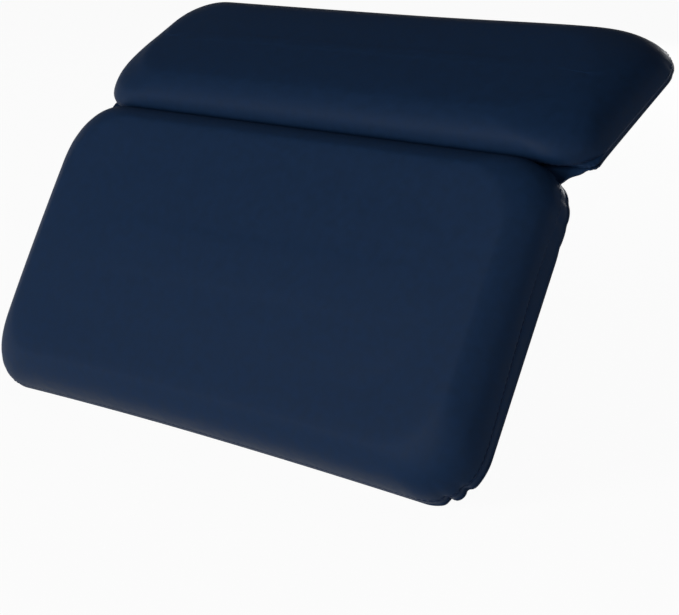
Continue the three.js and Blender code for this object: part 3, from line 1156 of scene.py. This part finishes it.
def spun(name: str, profile: list[tuple[float, float]], steps: int, edge: float) -> bpy.types.Object:
    """Turns a closed profile about the upright axis.

    Args:
        name: the piece's name.
        profile: radius and height of its corners, in order.
        steps: how many steps make the full turn.
        edge: how far sharp edges are rounded.

    Returns:
        The turned piece, closed and facing outward.
    """
    mesh = bpy.data.meshes.new(name)
    edges = [(step, step + 1) for step in range(len(profile) - 1)]
    starts_off_axis = profile[0][0] > 0
    if starts_off_axis:
        edges.append((len(profile) - 1, 0))
    mesh.from_pydata([(radius, 0.0, height) for radius, height in profile], edges, [])
    piece = bpy.data.objects.new(name, mesh)
    bpy.context.scene.collection.objects.link(piece)
    make_active(piece)
    bpy.ops.object.mode_set(mode="EDIT")
    bpy.ops.mesh.select_all(action="SELECT")
    bpy.ops.mesh.spin(steps=steps, angle=2 * math.pi, center=(0, 0, 0), axis=(0, 0, 1))
    bpy.ops.mesh.select_all(action="SELECT")
    bpy.ops.mesh.remove_doubles(threshold=MERGE_DISTANCE)
    bpy.ops.mesh.select_all(action="SELECT")
    bpy.ops.mesh.normals_make_consistent(inside=False)
    bpy.ops.object.mode_set(mode="OBJECT")
    bevel = piece.modifiers.new("Bevel", "BEVEL")
    bevel.width = edge
    bevel.segments = ROUNDING_STEPS
    bevel.limit_method = "ANGLE"
    bevel.angle_limit = SHARP_ANGLE
    apply_modifier(piece, bevel)
    bpy.ops.object.shade_smooth_by_angle(angle=SHADED_ANGLE)
    return piece


@dataclass(frozen=True)
class CupSizes:
    """Sizes of a suction cup and its grommet, upward from the cup's rim.

    Attributes:
        radius: the cup's radius.
        land: width of the flat land on its rim.
        rim: height of the rim's edge.
        hollow: height of the hollow.
        hollow_power: how soon the hollow falls off from its middle.
        dome: height of the dome over the hollow.
        height: height of the hub.
        hub: radius of the hub.
        neck: radius of the neck.
        neck_top: height of the neck's top.
        head: radius of the head.
        head_height: its height.
        head_round: how far its upper edge is rounded.
        standoff: from the rim to the back sheet.
        bore: radius of the grommet's bore.
        barrel: radius of the grommet where it goes through the sheet.
        flange: radius of its flanges.
        flange_thick: their thickness.
        play: gap between a flange and the sheet.
        cup_edge: how far the cup's sharp edges are rounded.
        grommet_edge: the same on the grommet.
        cup_steps: steps round the cup.
        grommet_steps: steps round the grommet.
        dome_steps: steps down the dome.
        head_steps: steps round the head's upper edge.
    """

    radius: float = 25.0 * MM
    land: float = 2.5 * MM
    rim: float = 1.2 * MM
    hollow: float = 8.0 * MM
    hollow_power: float = 1.3
    dome: float = 11.0 * MM
    height: float = 15.0 * MM
    hub: float = 8.0 * MM
    neck: float = 4.5 * MM
    neck_top: float = 20.6 * MM
    head: float = 7.0 * MM
    head_height: float = 4.5 * MM
    head_round: float = 2.0 * MM
    standoff: float = 17.2 * MM
    bore: float = 4.8 * MM
    barrel: float = 6.4 * MM
    flange: float = 11.5 * MM
    flange_thick: float = 1.6 * MM
    play: float = 0.05 * MM
    cup_edge: float = 0.35 * MM
    grommet_edge: float = 0.5 * MM
    cup_steps: int = 64
    grommet_steps: int = 48
    dome_steps: int = 12
    head_steps: int = 4


@dataclass
class SuctionCup:
    """One clear cup and the grommet that holds it in the back sheet.

    Attributes:
        side: which pad it is on.
        number: its number on that pad.
        sizes: its sizes.
    """

    side: PadSide
    number: int
    sizes: CupSizes

    def place(self) -> Matrix:
        """Finds the cup's place from its joint.

        Returns:
            The matrix to the frame from the cup's own axes, with its rim at zero and its head up.
        """
        name = f"{self.side.value}_cup_{self.number}_swivel"
        joint = next(joint for joint in frame["joints"] if joint["name"] == name)
        up = -Vector(joint["axis"]).normalized()
        across = Vector((1, 0, 0))
        turn = Matrix((across, up.cross(across), up)).transposed()
        return Matrix.Translation(Vector(joint["pos_m"])) @ turn.to_4x4()

    def cup_profile(self) -> list[tuple[float, float]]:
        """Draws the cup's profile.

        Returns:
            Radius and height of its corners, from the top of the hollow round the rim to the top of the head.
        """
        s = self.sizes
        inner = s.radius - s.land
        head_top = s.neck_top + s.head_height
        turn = np.linspace(0, math.pi / 2, s.dome_steps + 1)
        points = [(inner * math.sin(a), s.hollow * math.cos(a) ** s.hollow_power) for a in turn[:-1]]
        points += [(inner, 0.0), (s.radius, 0.0), (s.radius, s.rim)]
        for a in turn[1:-1]:
            points.append((s.hub + (s.radius - s.hub) * math.cos(a), s.rim + (s.dome - s.rim) * math.sin(a)))
        points += [(s.hub, s.dome), (s.hub, s.height), (s.neck, s.height), (s.neck, s.neck_top)]
        points += [(s.head, s.neck_top), (s.head, head_top - s.head_round)]
        for a in np.linspace(0, math.pi / 2, s.head_steps + 1)[1:]:
            inward = s.head_round * (1 - math.cos(a))
            points.append((s.head - inward, head_top - s.head_round * (1 - math.sin(a))))
        points.append((0.0, head_top))
        return points

    def grommet_profile(self) -> list[tuple[float, float]]:
        """Draws the grommet's profile: two flanges joined by a barrel, with the sheet between the flanges.

        Returns:
            Radius and height of its corners, from the bore's lower edge round to its upper one.
        """
        s = self.sizes
        back = s.standoff - s.play
        front = s.standoff + SEWING.sheet + s.play
        return [
            (s.bore, back - s.flange_thick),
            (s.flange, back - s.flange_thick),
            (s.flange, back),
            (s.barrel, back),
            (s.barrel, front),
            (s.flange, front),
            (s.flange, front + s.flange_thick),
            (s.bore, front + s.flange_thick),
        ]

    def build(self, clear: "ClearVinyl", dark: "DarkVinyl") -> tuple[bpy.types.Object, bpy.types.Object]:
        """Makes the cup and its grommet.

        Args:
            clear: the cup's finish.
            dark: the grommet's finish.

        Returns:
            The cup and the grommet.
        """
        sizes, pad = self.sizes, self.side.value
        cup = spun(f"{pad}_clear_cup_{self.number}", self.cup_profile(), sizes.cup_steps, sizes.cup_edge)
        cup.data.transform(self.place())
        cup.data.materials.append(clear.material())
        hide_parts(f"{pad}_suction_cup_{self.number}")
        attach(cup, f"{pad}_cup_{self.number}")
        section = self.grommet_profile()
        ring = spun(f"{pad}_grip_ring_{self.number}", section, sizes.grommet_steps, sizes.grommet_edge)
        ring.data.transform(self.place())
        ring.data.materials.append(dark.material())
        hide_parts(f"{pad}_cup_grommet_{self.number}")
        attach(ring, f"{pad}_pad")
        return cup, ring


def new_material(name: str) -> tuple[bpy.types.Material, bpy.types.NodeTree, bpy.types.Node]:
    """Makes a node material with one main shader.

    Args:
        name: its name.

    Returns:
        The material, its node tree and its main shader node.
    """
    material = bpy.data.materials.new(name)
    material.use_nodes = True
    tree = material.node_tree
    tree.nodes.clear()
    shader = tree.nodes.new("ShaderNodeBsdfPrincipled")
    output = tree.nodes.new("ShaderNodeOutputMaterial")
    tree.links.new(shader.outputs["BSDF"], output.inputs["Surface"])
    return material, tree, shader


Colour = tuple[float, float, float]
NOISE_LOW = 0.3
NOISE_HIGH = 0.7


def noise(tree: bpy.types.NodeTree, scale: float, detail: float) -> bpy.types.NodeSocket:
    """Adds a noise in the object's own metres.

    Args:
        tree: the material's nodes.
        scale: how many of its spots fit in a metre.
        detail: how many finer layers it has.

    Returns:
        The noise's value.
    """
    place = tree.nodes.new("ShaderNodeTexCoord")
    node = tree.nodes.new("ShaderNodeTexNoise")
    node.inputs["Scale"].default_value = scale
    node.inputs["Detail"].default_value = detail
    tree.links.new(place.outputs["Object"], node.inputs["Vector"])
    return node.outputs["Fac"]


def remap(
    tree: bpy.types.NodeTree, value: bpy.types.NodeSocket, low: float, high: float
) -> bpy.types.NodeSocket:
    """Spreads a noise's usual span over a range.

    Args:
        tree: the material's nodes.
        value: the noise.
        low: the range's lower end.
        high: its upper end.

    Returns:
        The spread value.
    """
    node = tree.nodes.new("ShaderNodeMapRange")
    node.inputs["From Min"].default_value = NOISE_LOW
    node.inputs["From Max"].default_value = NOISE_HIGH
    node.inputs["To Min"].default_value = low
    node.inputs["To Max"].default_value = high
    tree.links.new(value, node.inputs["Value"])
    return node.outputs["Result"]


def tinted(
    tree: bpy.types.NodeTree, value: bpy.types.NodeSocket, dark: Colour, light: Colour
) -> bpy.types.NodeSocket:
    """Mixes two colours by a noise.

    Args:
        tree: the material's nodes.
        value: the noise.
        dark: the colour where it is low.
        light: the colour where it is high.

    Returns:
        The mixed colour.
    """
    ramp = tree.nodes.new("ShaderNodeValToRGB")
    ramp.color_ramp.elements[0].position = NOISE_LOW
    ramp.color_ramp.elements[0].color = (*dark, 1.0)
    ramp.color_ramp.elements[1].position = NOISE_HIGH
    ramp.color_ramp.elements[1].color = (*light, 1.0)
    tree.links.new(value, ramp.inputs["Fac"])
    return ramp.outputs["Color"]


def bumped(
    tree: bpy.types.NodeTree, shader: bpy.types.Node, heights: list[tuple[bpy.types.NodeSocket, float]]
) -> None:
    """Adds bumps to a shader, one on top of the other.

    Args:
        tree: the material's nodes.
        shader: its main shader node.
        heights: each height and its full depth in metres.
    """
    normal = None
    for height, depth in heights:
        node = tree.nodes.new("ShaderNodeBump")
        node.inputs["Strength"].default_value = 1.0
        node.inputs["Distance"].default_value = depth
        tree.links.new(height, node.inputs["Height"])
        if normal is not None:
            tree.links.new(normal, node.inputs["Normal"])
        normal = node.outputs["Normal"]
    tree.links.new(normal, shader.inputs["Normal"])


def seen_directly(tree: bpy.types.NodeTree) -> bpy.types.NodeSocket:
    """Tells rays that show a surface from rays that carry its light on.

    Args:
        tree: the material's nodes.

    Returns:
        1 for what is seen, straight, in a gloss or through clear vinyl, and 0 for what lights.
    """
    path = tree.nodes.new("ShaderNodeLightPath")
    result = path.outputs["Is Camera Ray"]
    for ray in ("Is Glossy Ray", "Is Transmission Ray"):
        either = tree.nodes.new("ShaderNodeMath")
        either.operation = "MAXIMUM"
        tree.links.new(result, either.inputs[0])
        tree.links.new(path.outputs[ray], either.inputs[1])
        result = either.outputs[0]
    return result


@dataclass(frozen=True)
class Finish:
    """A finish with a material of its own.

    Attributes:
        name: the material's name.
    """

    name: str

    def material(self) -> bpy.types.Material:
        """Finds the finish's material, and makes it on first use.

        Returns:
            The material.
        """
        if self.name in bpy.data.materials:
            return bpy.data.materials[self.name]
        material, tree, shader = new_material(self.name)
        self.dress(tree, shader)
        return material

    def dress(self, tree: bpy.types.NodeTree, shader: bpy.types.Node) -> None:
        """Sets up the shader.

        Args:
            tree: the material's nodes.
            shader: its main shader node.
        """
        raise NotImplementedError


@dataclass(frozen=True)
class CoatedFabric(Finish):
    """Soft-touch coated fabric: matt, with a very fine grain over the faint unevenness of the weave.

    Attributes:
        dark: the darker colour of its mottle.
        light: the lighter one.
        roughness: the roughness of its gloss, from and to.
        specular: the gloss's strength.
        grain: depth of the grain.
        unevenness: depth of the weave's unevenness.
    """

    dark: Colour = (0.0055, 0.0180, 0.0476)
    light: Colour = (0.0064, 0.0212, 0.0582)
    roughness: tuple[float, float] = (0.55, 0.64)
    specular: float = 0.08
    grain: float = 0.02 * MM
    unevenness: float = 0.06 * MM

    def dress(self, tree: bpy.types.NodeTree, shader: bpy.types.Node) -> None:
        """Sets up the fabric's mottle, gloss, unevenness and grain.

        Args:
            tree: the material's nodes.
            shader: its main shader node.
        """
        mottle = noise(tree, scale=220.0, detail=3.0)
        tree.links.new(tinted(tree, mottle, self.dark, self.light), shader.inputs["Base Color"])
        tree.links.new(remap(tree, mottle, *self.roughness), shader.inputs["Roughness"])
        shader.inputs["Specular IOR Level"].default_value = self.specular
        weave = noise(tree, scale=45.0, detail=2.0)
        grain = noise(tree, scale=2200.0, detail=2.0)
        bumped(tree, shader, [(weave, self.unevenness), (grain, self.grain)])


@dataclass(frozen=True)
class Thread(Finish):
    """Sewing thread in the fabric's colour, a little darker.

    Attributes:
        dark: the darker colour of its twist.
        light: the lighter one.
        roughness: the roughness of its gloss.
        specular: the gloss's strength.
    """

    dark: Colour = (0.0016, 0.008, 0.03)
    light: Colour = (0.0022, 0.012, 0.044)
    roughness: float = 0.7
    specular: float = 0.2

    def dress(self, tree: bpy.types.NodeTree, shader: bpy.types.Node) -> None:
        """Sets up the thread's twist and gloss.

        Args:
            tree: the material's nodes.
            shader: its main shader node.
        """
        twist = noise(tree, scale=1500.0, detail=2.0)
        tree.links.new(tinted(tree, twist, self.dark, self.light), shader.inputs["Base Color"])
        shader.inputs["Roughness"].default_value = self.roughness
        shader.inputs["Specular IOR Level"].default_value = self.specular


@dataclass(frozen=True)
class ClearVinyl(Finish):
    """Clear soft vinyl, slightly hazy.

    Attributes:
        dark: the darker tint of its haze.
        light: the lighter one.
        roughness: the roughness of its gloss, from and to.
        clearness: share of the light that goes through.
        refraction: how much it bends light.
    """

    dark: Colour = (0.95, 0.97, 0.975)
    light: Colour = (0.98, 0.985, 0.99)
    roughness: tuple[float, float] = (0.08, 0.16)
    clearness: float = 0.92
    refraction: float = 1.52

    def dress(self, tree: bpy.types.NodeTree, shader: bpy.types.Node) -> None:
        """Sets up the vinyl's haze, gloss and clearness.

        Args:
            tree: the material's nodes.
            shader: its main shader node.
        """
        haze = noise(tree, scale=120.0, detail=3.0)
        tree.links.new(tinted(tree, haze, self.dark, self.light), shader.inputs["Base Color"])
        tree.links.new(remap(tree, haze, *self.roughness), shader.inputs["Roughness"])
        shader.inputs["Transmission Weight"].default_value = self.clearness
        shader.inputs["IOR"].default_value = self.refraction


@dataclass(frozen=True)
class DarkVinyl(Finish):
    """Dark soft vinyl with a faint moulded grain.

    Attributes:
        dark: the darker colour of its mottle.
        light: the lighter one.
        roughness: the roughness of its gloss, from and to.
        grain: depth of the grain.
    """

    dark: Colour = (0.003, 0.008, 0.024)
    light: Colour = (0.005, 0.012, 0.034)
    roughness: tuple[float, float] = (0.38, 0.48)
    grain: float = 0.03 * MM

    def dress(self, tree: bpy.types.NodeTree, shader: bpy.types.Node) -> None:
        """Sets up the vinyl's mottle, gloss and grain.

        Args:
            tree: the material's nodes.
            shader: its main shader node.
        """
        mottle = noise(tree, scale=300.0, detail=2.0)
        tree.links.new(tinted(tree, mottle, self.dark, self.light), shader.inputs["Base Color"])
        tree.links.new(remap(tree, mottle, *self.roughness), shader.inputs["Roughness"])
        bumped(tree, shader, [(noise(tree, scale=1400.0, detail=2.0), self.grain)])


@dataclass(frozen=True)
class Paper(Finish):
    """Pale paper that is white to the camera, but for a small share that takes light and shadow.

    Attributes:
        dark: the darker tint of its mottle.
        light: the lighter one.
        roughness: the roughness of its gloss.
        specular: the gloss's strength.
        white_share: how much of what is seen is plain white.
    """

    dark: Colour = (0.90, 0.90, 0.90)
    light: Colour = (0.92, 0.92, 0.92)
    roughness: float = 0.9
    specular: float = 0.1
    white_share: float = 0.95

    def dress(self, tree: bpy.types.NodeTree, shader: bpy.types.Node) -> None:
        """Sets up the paper's mottle and the white that only the camera sees.

        Args:
            tree: the material's nodes.
            shader: its main shader node.
        """
        mottle = noise(tree, scale=3.0, detail=2.0)
        tree.links.new(tinted(tree, mottle, self.dark, self.light), shader.inputs["Base Color"])
        shader.inputs["Roughness"].default_value = self.roughness
        shader.inputs["Specular IOR Level"].default_value = self.specular
        glow = tree.nodes.new("ShaderNodeEmission")
        glow.inputs["Strength"].default_value = 1.0
        mix = tree.nodes.new("ShaderNodeMixShader")
        share = tree.nodes.new("ShaderNodeMath")
        share.operation = "MULTIPLY"
        share.inputs[1].default_value = self.white_share
        tree.links.new(seen_directly(tree), share.inputs[0])
        tree.links.new(share.outputs[0], mix.inputs[0])
        tree.links.new(shader.outputs[0], mix.inputs[1])
        tree.links.new(glow.outputs[0], mix.inputs[2])
        output = next(node for node in tree.nodes if node.type == "OUTPUT_MATERIAL")
        tree.links.new(mix.outputs[0], output.inputs["Surface"])


@dataclass(frozen=True)
class Lamp:
    """One soft square lamp that faces the pillow, unseen by the camera.

    Attributes:
        name: its name.
        place: where it hangs.
        size: its side.
        power: its power in watts.
        AIM: the middle of the pillow.
    """

    name: str
    place: tuple[float, float, float]
    size: float
    power: float

    AIM: ClassVar[Vector] = Vector((0, 0.03, 0.05))

    def hang(self) -> None:
        """Adds the lamp to the scene."""
        data = bpy.data.lights.new(self.name, "AREA")
        data.shape = "SQUARE"
        data.size = self.size
        data.energy = self.power
        lamp = bpy.data.objects.new(self.name, data)
        bpy.context.scene.collection.objects.link(lamp)
        lamp.visible_camera = False
        turn = (self.AIM - Vector(self.place)).to_track_quat("-Z", "Y").to_matrix().to_4x4()
        lamp.matrix_world = Matrix.Translation(self.place) @ turn


LAMPS = (
    Lamp("key_lamp", place=(-0.55, -2.4, 0.64), size=1.2, power=48.0),
    Lamp("right_lamp", place=(2.2, -1.2, 0.5), size=1.0, power=8.5),
    Lamp("back_lamp", place=(-0.4, 2.4, 0.25), size=0.5, power=22.0),
)


@dataclass
class Studio:
    """The pale floor, the soft light and the camera.

    Attributes:
        azimuth: the camera's way round, in degrees.
        elevation: its height, in degrees.
        roll: its roll, in degrees.
        focal: its focal length in the photograph's pixels.
        centre: where it stands.
        sensor: the width of its sensor, in the lens's millimetres.
        clip: the nearest and the farthest that it sees.
        paper: the finish of floor and wall.
        wall_radius: how far out the wall behind the floor stands.
        wall_height: its height.
        wall_steps: steps round it.
        floor_gap: how far under the pillow the floor lies.
        ambient: strength of the even light from all round.
    """

    azimuth: float = 41.314
    elevation: float = 13.735
    roll: float = 0.244
    focal: float = 1770.7
    centre: tuple[float, float, float] = (0.67329, -0.71372, 0.23497)
    sensor: float = 36.0
    clip: tuple[float, float] = (0.05, 100.0)
    paper: Paper = Paper("floor_paper")
    wall_radius: float = 12.0
    wall_height: float = 3.0
    wall_steps: int = 96
    floor_gap: float = 0.5 * MM
    ambient: float = 0.1

    def camera(self) -> None:
        """Sets the camera where the photograph was taken from."""
        data = bpy.data.cameras.new("photo_camera")
        data.sensor_fit = "HORIZONTAL"
        data.sensor_width = self.sensor
        data.lens = self.focal * self.sensor / PHOTO_WIDTH
        data.clip_start, data.clip_end = self.clip
        camera = bpy.data.objects.new("photo_camera", data)
        bpy.context.scene.collection.objects.link(camera)
        around = math.radians(self.azimuth)
        up = math.radians(self.elevation)
        back = Vector((math.sin(around) * math.cos(up), -math.cos(around) * math.cos(up), math.sin(up)))
        turn = (-back).to_track_quat("-Z", "Y").to_matrix().to_4x4()
        spin = Matrix.Rotation(math.radians(self.roll), 4, "Z")
        camera.matrix_world = Matrix.Translation(self.centre) @ turn @ spin
        bpy.context.scene.camera = camera

    def floor(self) -> None:
        """Lays the pale floor under the pillow, with a low round wall of the same paper far out."""
        paper = self.paper.material()
        level = min(CAD_BOX[0][2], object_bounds()[0][2]) - self.floor_gap
        deselect_all()
        bpy.ops.mesh.primitive_plane_add(size=2 * self.wall_radius)
        floor = bpy.context.object
        floor.name = "floor"
        deselect_all()
        bpy.ops.mesh.primitive_cylinder_add(
            vertices=self.wall_steps, radius=self.wall_radius, depth=self.wall_height, end_fill_type="NOTHING"
        )
        wall = bpy.context.object
        wall.name = "wall"
        wall.data.transform(Matrix.Translation((0, 0, self.wall_height / 2)))
        for stage in (floor, wall):
            stage.data.transform(Matrix.Translation((0, 0, level)))
            stage.data.materials.append(paper)
            stage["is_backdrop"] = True

    def backdrop(self) -> None:
        """Lights the scene softly and evenly from all round."""
        world = bpy.data.worlds.new("studio")
        bpy.context.scene.world = world
        world.use_nodes = True
        soft = world.node_tree.nodes["Background"]
        soft.inputs["Color"].default_value = (1, 1, 1, 1)
        soft.inputs["Strength"].default_value = self.ambient

    def build(self) -> None:
        """Sets up floor, light and camera."""
        self.camera()
        self.floor()
        self.backdrop()
        for lamp in LAMPS:
            lamp.hang()


def pad_shape(side: PadSide, place: PadPlace) -> PadShape:
    """Sizes a pad from the CAD cover that it replaces.

    Args:
        side: which pad.
        place: the pad's place.

    Returns:
        Its outline and profile.
    """
    low, high = place.measure(f"{side.value}_front_cover")
    sizes = {
        "width": float(high[0] - low[0]),
        "near": SEWING.hinge_gap,
        "far": float(high[1]),
        "thickness": float(high[2]),
    }
    if side is PadSide.LOWER:
        scalloped = Pleats(places=(0.34, 0.575), pitch=0.24, depth=2.6 * MM, wall=1.4 * MM, reach=8 * MM)
        gathered = Pleats(
            places=(-0.26, 0.02, 0.3, 0.58, 0.84), pitch=0.28, depth=0.6 * MM, wall=1.1 * MM, reach=8 * MM
        )
        return PadShape(
            **sizes,
            free_corner=(26 * MM, 30 * MM),
            hinge_corner=(35 * MM, 27 * MM),
            free_growth=0.3,
            hinge_growth=0.3,
            pleats={
                Corner.FREE_START: scalloped.mirrored(),
                Corner.FREE_END: scalloped,
                Corner.HINGE_END: gathered,
                Corner.HINGE_START: gathered.mirrored(),
            },
            stitch_sway=((0.0, 0.0), (0.2, 3.0 * MM), (0.38, 3.2 * MM), (0.8, -0.4 * MM), (1.0, -0.8 * MM)),
            start_flare=(-2.4 * MM, -3.4 * MM),
            start_lean=9.0 * MM,
            end_flare=(-1.0 * MM, 1.7 * MM),
            free_bow=(3.1 * MM, 2.1 * MM),
            free_sag=(10.0 * MM, 0.0),
            edge_round=19 * MM,
            hinge_round=12.5 * MM,
            hinge_bulge=0.8 * MM,
        )
    eased = Pleats(places=(0.2, 0.5, 0.8), pitch=0.3, depth=0.4 * MM, wall=0.6 * MM, reach=7 * MM)
    return PadShape(
        **sizes,
        free_corner=(29 * MM, 18 * MM),
        hinge_corner=(6 * MM, 24 * MM),
        free_growth=0.6,
        hinge_growth=1.0,
        pleats={corner: eased for corner in Corner},
        stitch_sway=((0.0, -2.5 * MM), (1.0, -2.5 * MM)),
        start_flare=(3.9 * MM, -3.1 * MM),
        end_flare=(-4.1 * MM, -0.2 * MM),
        free_bow=(7.9 * MM, 1.2 * MM),
        free_sag=(19.0 * MM, 0.0),
        hinge_gain=(16 * MM, 8 * MM),
        edge_round=27 * MM,
        hinge_round=9 * MM,
        hinge_bulge=8.8 * MM,
        bulge_rise=0.35,
        short_steps=10,
    )


def report(piece: bpy.types.Object) -> None:
    """Logs a finished piece."""
    LOG.info("%s: %d corners", piece.name, len(piece.data.vertices))


def main() -> None:
    """Builds the pillow piece by piece."""
    logging.basicConfig(level=logging.INFO, format="%(message)s")
    bpy.context.scene.view_settings.view_transform = "Standard"
    cover = CoatedFabric("navy_coated_fabric")
    thread = Thread("navy_thread")
    places = {side: PadPlace.from_frame(side) for side in PadSide}
    shapes = {side: pad_shape(side, places[side]) for side in PadSide}
    for side in PadSide:
        cushion = Cushion(side, shapes[side], places[side], FILLINGS[side])
        report(cushion.build(cover))
        report(Stitches(side, shapes[side], places[side], cushion.top()).build(thread))
    holes = []
    for side, sign in ((PadSide.LOWER, -1.0), (PadSide.UPPER, 1.0)):
        inverse = places[side].matrix().inverted()
        swivels = [joint for joint in frame["joints"] if joint["name"].startswith(f"{side.value}_cup_")]
        for number in range(1, len(swivels) + 1):
            cup = SuctionCup(side, number, CupSizes())
            spot = inverse @ cup.place().translation
            holes.append((spot.x * sign, spot.y * sign))
            for piece in cup.build(ClearVinyl("clear_vinyl"), DarkVinyl("dark_vinyl")):
                report(piece)
    report(BackSheet(shapes[PadSide.LOWER], shapes[PadSide.UPPER], places, holes).build(cover))
    Studio().build()


if __name__ == "__main__":
    main()
